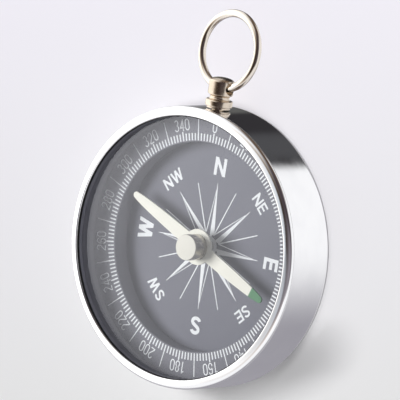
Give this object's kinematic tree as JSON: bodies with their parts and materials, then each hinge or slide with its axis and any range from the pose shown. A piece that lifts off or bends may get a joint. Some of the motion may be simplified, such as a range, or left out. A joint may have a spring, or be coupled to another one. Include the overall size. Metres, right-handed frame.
{
  "type": "magnetic compass",
  "caption": "Round polished metal pocket compass with a swinging needle under flat glass, a degree ring, a rose dial and a wire ring on a stem.",
  "frame": {"origin": "centre of the flat back face", "axes": "+Z out of the dial, +Y to the stem at North, +X to East"},
  "size_m": [0.05, 0.0677, 0.011],
  "materials": {
    "polished_aluminium": "polished, turned",
    "clear_glass": "clear, flat",
    "black_rubber": "matt",
    "slate_sleeve": "satin",
    "black_scale": "satin, printed in white",
    "black_dial": "satin, printed in white",
    "base_plastic": "moulded",
    "pivot_metal": "turned, nickel plated",
    "pin_steel": "ground point",
    "needle_paint": "cream luminous paint, green tip",
    "hub_metal": "turned, plated, cream top",
    "jewel": "polished cone",
    "nickel_plate": "polished nickel"
  },
  "bodies": {
    "case": {"case_body": "polished_aluminium", "front_bezel": "polished_aluminium", "crystal": "clear_glass", "crystal_gasket": "black_rubber", "spacer_sleeve": "slate_sleeve", "chapter_ring": "black_scale", "dial_plate": "black_dial", "dial_base": "base_plastic", "pivot_bush": "pivot_metal", "pivot_pin": "pin_steel", "bow_stem": "nickel_plate"},
    "needle": {"needle_blade": "needle_paint", "needle_hub": "hub_metal", "needle_jewel": "jewel"},
    "bow": {"bow_ring": "nickel_plate"}
  },
  "joints": [
    {"name": "needle_spin", "type": "hinge", "parent": "case", "child": "needle", "pos_m": [0, 0, 0.00785], "axis": [0, 0, 1], "continuous": true},
    {"name": "bow_swing", "type": "hinge", "parent": "case", "child": "bow", "pos_m": [0, 0.02895, 0.006], "axis": [1, 0, 0], "range_deg": [-110, 130]}
  ]
}
